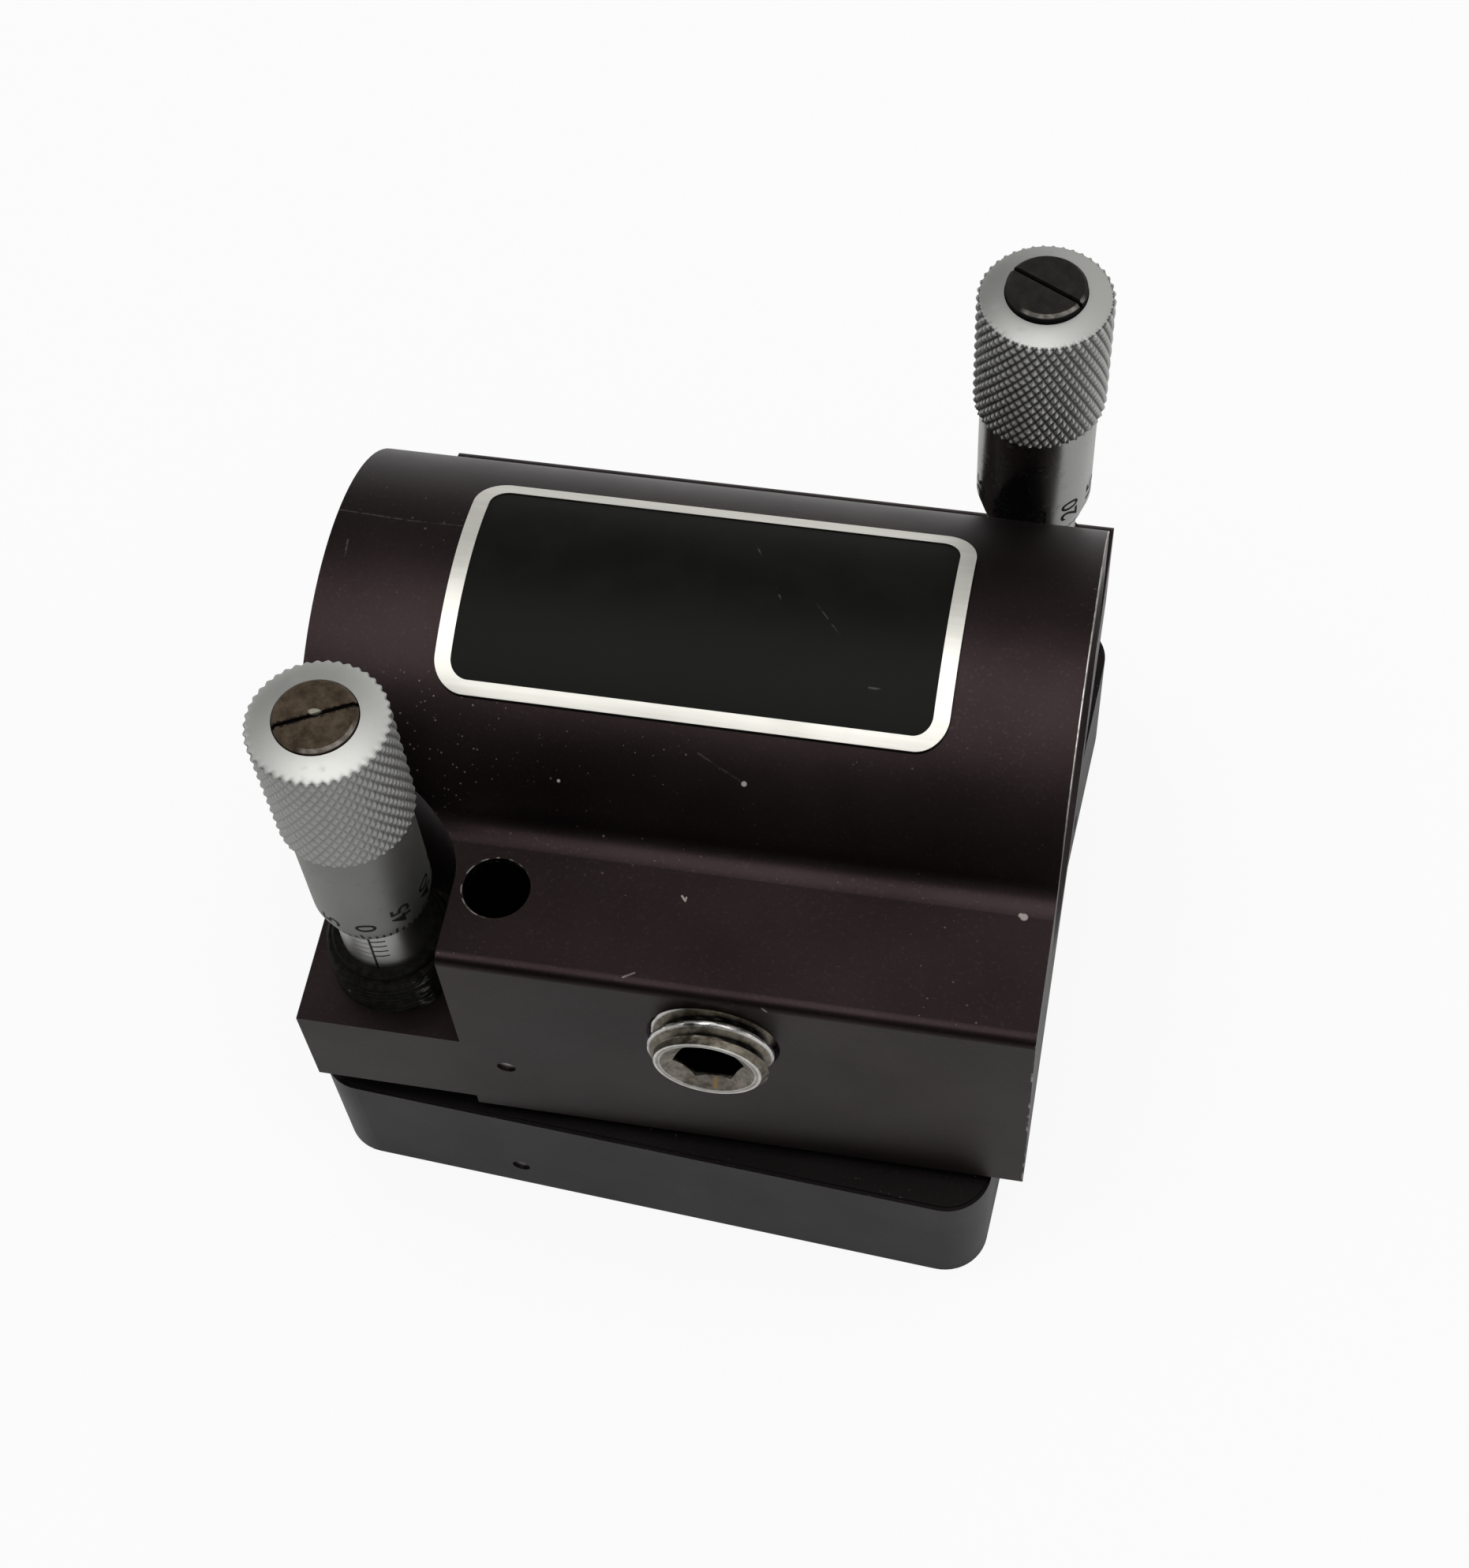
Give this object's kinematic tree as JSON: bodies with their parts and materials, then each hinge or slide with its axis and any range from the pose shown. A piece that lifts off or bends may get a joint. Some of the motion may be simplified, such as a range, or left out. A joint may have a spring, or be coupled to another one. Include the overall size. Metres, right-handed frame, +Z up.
{
  "type": "kinematic mirror mount",
  "caption": "Rod clamp block with two corner micrometers and a ball pivot that tips a round-cornered mirror plate under it.",
  "frame": {"origin": "Middle of the mirror plate's underside", "axes": "+X along the rod, +Y to the back, away from the clamp screw's face, +Z up"},
  "size_m": [0.0782, 0.0802, 0.0821],
  "materials": {
    "anodised_block": "satin black anodised with a purplish brown cast",
    "anodised_plate": "satin black anodised",
    "label": "black field inside a satin silver border",
    "black_collar": "blackened, fine thread",
    "satin_chrome": "satin chrome plated",
    "brown_steel": "browned, slightly rusted",
    "black_steel": "blackened",
    "ground_steel": "ground",
    "hard_steel": "hardened and polished",
    "spring_steel": "drawn wire",
    "stainless": "bright stainless",
    "brass_pad": "plain"
  },
  "bodies": {
    "plate_body": {"mirror_plate": "anodised_plate", "pivot_pad": "hard_steel", "tip_pad_a": "hard_steel", "tip_pad_b": "hard_steel", "plate_pin_a": "ground_steel", "plate_pin_b": "ground_steel", "mirror_grub": "black_steel", "spring_a": "spring_steel", "spring_b": "spring_steel"},
    "pivot_body": {"pivot_ball": "hard_steel"},
    "block_body": {"clamp_block": "anodised_block", "nameplate": "label", "pivot_cup": "hard_steel", "collar_a": "black_collar", "collar_b": "black_collar", "sleeve_a": "satin_chrome", "sleeve_b": "satin_chrome", "block_pin_a": "ground_steel", "block_pin_b": "ground_steel"},
    "tip_a_body": {"tip_ball_a": "hard_steel"},
    "tip_b_body": {"tip_ball_b": "hard_steel"},
    "thimble_a_body": {"thimble_a": "satin_chrome", "cap_screw_a": "brown_steel", "spindle_a": "ground_steel"},
    "thimble_b_body": {"thimble_b": "satin_chrome", "cap_screw_b": "black_steel", "spindle_b": "ground_steel"},
    "clamp_pad_body": {"clamp_pad": "brass_pad"},
    "clamp_screw_body": {"clamp_screw": "stainless"}
  },
  "joints": [
    {"name": "tilt_b", "type": "hinge", "parent": "plate_body", "child": "pivot_body", "pos_m": [0.02955, -0.02745, 0.01825], "axis": [1, 0, 0], "range_deg": [-0.38, 2.5], "deforming": ["spring_b"]},
    {"name": "tilt_a", "type": "hinge", "parent": "pivot_body", "child": "block_body", "pos_m": [0.02955, -0.02745, 0.01825], "axis": [0, 1, 0], "range_deg": [-0.37, 2.44], "deforming": ["spring_a"]},
    {"name": "travel_a", "type": "slide", "parent": "block_body", "child": "tip_a_body", "axis": [0, 0, -1], "range_m": [-0.00038, 0.0025]},
    {"name": "turn_a", "type": "hinge", "parent": "tip_a_body", "child": "thimble_a_body", "pos_m": [-0.02915, -0.02745, 0.049], "axis": [0, 0, -1], "range_deg": [-271, 1801]},
    {"name": "travel_b", "type": "slide", "parent": "block_body", "child": "tip_b_body", "axis": [0, 0, -1], "range_m": [-0.00038, 0.0025]},
    {"name": "turn_b", "type": "hinge", "parent": "tip_b_body", "child": "thimble_b_body", "pos_m": [0.02955, 0.02985, 0.049], "axis": [0, 0, -1], "range_deg": [-271, 1801]},
    {"name": "clamp_travel", "type": "slide", "parent": "block_body", "child": "clamp_pad_body", "axis": [0, 1, 0], "range_m": [-0.00293, 0]},
    {"name": "clamp_turn", "type": "hinge", "parent": "clamp_pad_body", "child": "clamp_screw_body", "pos_m": [0.0067, -0.0312, 0.0428], "axis": [0, 1, 0], "range_deg": [-541, 0]}
  ],
  "couplings": [
    {"joint": "turn_a", "follows": "travel_a", "rad_per_m": 12566},
    {"joint": "tilt_a", "follows": "travel_a", "rad_per_m": 17.036},
    {"joint": "turn_b", "follows": "travel_b", "rad_per_m": 12566},
    {"joint": "tilt_b", "follows": "travel_b", "rad_per_m": 17.452},
    {"joint": "clamp_turn", "follows": "clamp_travel", "rad_per_m": 3215.6}
  ]
}
